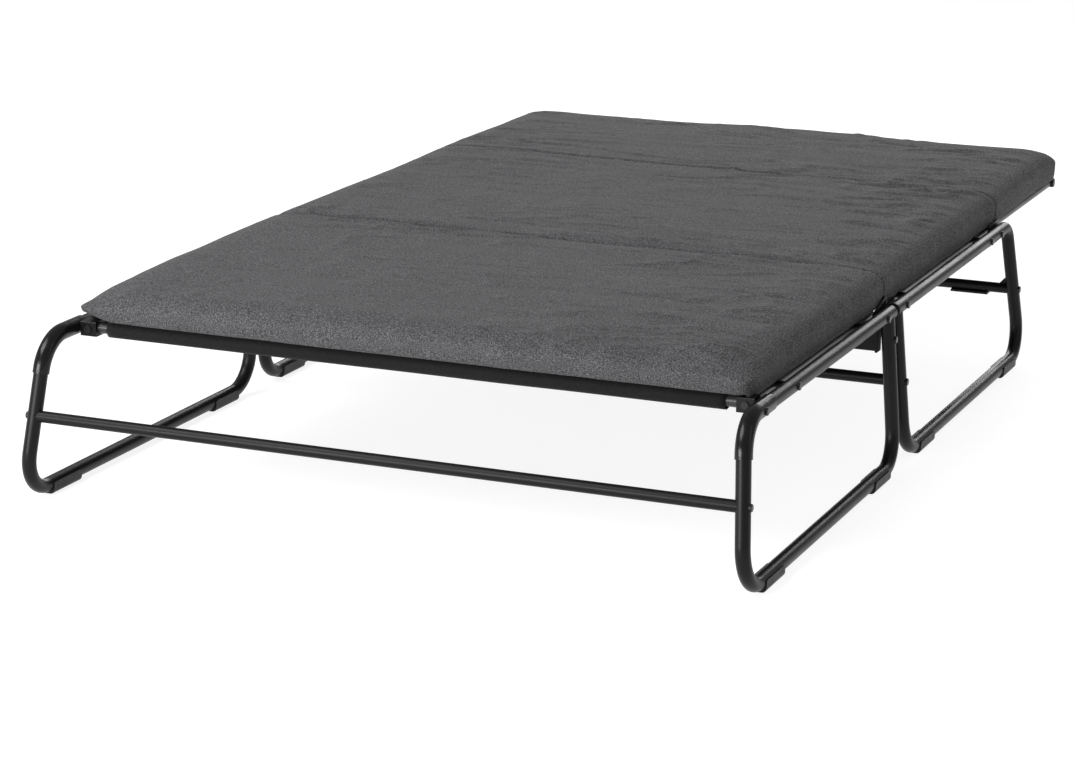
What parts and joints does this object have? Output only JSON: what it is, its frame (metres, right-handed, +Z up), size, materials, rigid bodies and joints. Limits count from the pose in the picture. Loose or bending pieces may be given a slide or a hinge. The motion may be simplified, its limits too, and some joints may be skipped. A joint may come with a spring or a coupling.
{
  "type": "folding bed",
  "caption": "Folding guest bed: two hinged tube-loop frames, a tilting rear frame, cloth decks and a sectioned mattress.",
  "frame": {"origin": "on the floor, below the middle of the whole bed's bounding box", "axes": "+X to the right across the bed, +Y from the foot end to the cantilevered rear end, +Z up"},
  "size_m": [1.3146, 2.0965, 0.355],
  "materials": {
    "powder_coat": "semi-gloss black powder coat",
    "black_steel": "blackened fixings",
    "black_plastic": "matte black plastic",
    "gloss_sleeve": "glossy black plastic",
    "deck_cloth": "black woven cloth",
    "mattress_cover": "dark grey melange woven cover over foam"
  },
  "bodies": {
    "rear_unit": {"back_crossbar": "powder_coat", "back_gusset_left": "powder_coat", "back_gusset_right": "powder_coat", "fold_pin_left": "black_steel", "fold_pin_right": "black_steel", "fold_plate_rear_left": "powder_coat", "fold_plate_rear_right": "powder_coat", "middle_crossbar": "powder_coat", "rear_bolts": "black_steel", "rear_deck": "deck_cloth", "rear_deck_back_tube": "powder_coat", "rear_deck_tube": "powder_coat", "rear_glide_a_left": "black_plastic", "rear_glide_a_right": "black_plastic", "rear_glide_b_left": "black_plastic", "rear_glide_b_right": "black_plastic", "rear_loop_left": "powder_coat", "rear_loop_right": "powder_coat", "rear_rail_plug_left": "black_plastic", "rear_rail_plug_right": "black_plastic", "rear_side_tube_left": "powder_coat", "rear_side_tube_right": "powder_coat", "tilt_pin_left": "black_steel", "tilt_pin_right": "black_steel", "tilt_plate_left": "powder_coat", "tilt_plate_right": "powder_coat"},
    "front_unit": {"deck_bracket_left": "powder_coat", "deck_bracket_right": "powder_coat", "elbow_sleeve_left": "gloss_sleeve", "elbow_sleeve_right": "gloss_sleeve", "fold_plate_front_left": "powder_coat", "fold_plate_front_right": "powder_coat", "front_bolts": "black_steel", "front_crossbar": "powder_coat", "front_deck": "deck_cloth", "front_deck_back_tube": "powder_coat", "front_deck_tube": "powder_coat", "front_glide_a_left": "black_plastic", "front_glide_a_right": "black_plastic", "front_glide_b_left": "black_plastic", "front_glide_b_right": "black_plastic", "front_loop_left": "powder_coat", "front_loop_right": "powder_coat", "front_rail_plug_left": "black_plastic", "front_rail_plug_right": "black_plastic", "front_side_tube_left": "powder_coat", "front_side_tube_right": "powder_coat", "front_strut": "powder_coat"},
    "backrest": {"end_tube": "powder_coat", "mattress_rear": "mattress_cover", "tilt_arm_left": "powder_coat", "tilt_arm_right": "powder_coat", "tilt_cross_tube": "powder_coat", "tilt_deck": "deck_cloth"},
    "mattress_seat": {"mattress_middle": "mattress_cover"},
    "mattress_foot": {"mattress_front": "mattress_cover"}
  },
  "joints": [
    {"name": "front_unit_fold", "type": "hinge", "parent": "rear_unit", "child": "front_unit", "pos_m": [0, -0.21273, 0.2959], "axis": [-1, 0, 0], "range_deg": [0, 180], "deforming": ["mattress_front", "mattress_middle"]},
    {"name": "backrest_tilt", "type": "hinge", "parent": "rear_unit", "child": "backrest", "pos_m": [0, 0.53927, 0.2822], "axis": [1, 0, 0], "range_deg": [0, 76.7], "deforming": ["mattress_rear"]},
    {"name": "seat_cushion_lay", "type": "slide", "parent": "rear_unit", "child": "mattress_seat", "axis": [0, -0.4885, 0.8725], "range_m": [0, 0.10235]},
    {"name": "foot_cushion_lay", "type": "hinge", "parent": "mattress_seat", "child": "mattress_foot", "pos_m": [0, -0.16648, 0.295], "axis": [-1, 0, 0], "range_deg": [0, 180]}
  ],
  "couplings": [
    {"joint": "seat_cushion_lay", "follows": "front_unit_fold", "m_per_rad": 0.032577},
    {"joint": "foot_cushion_lay", "follows": "front_unit_fold", "ratio": 1}
  ]
}
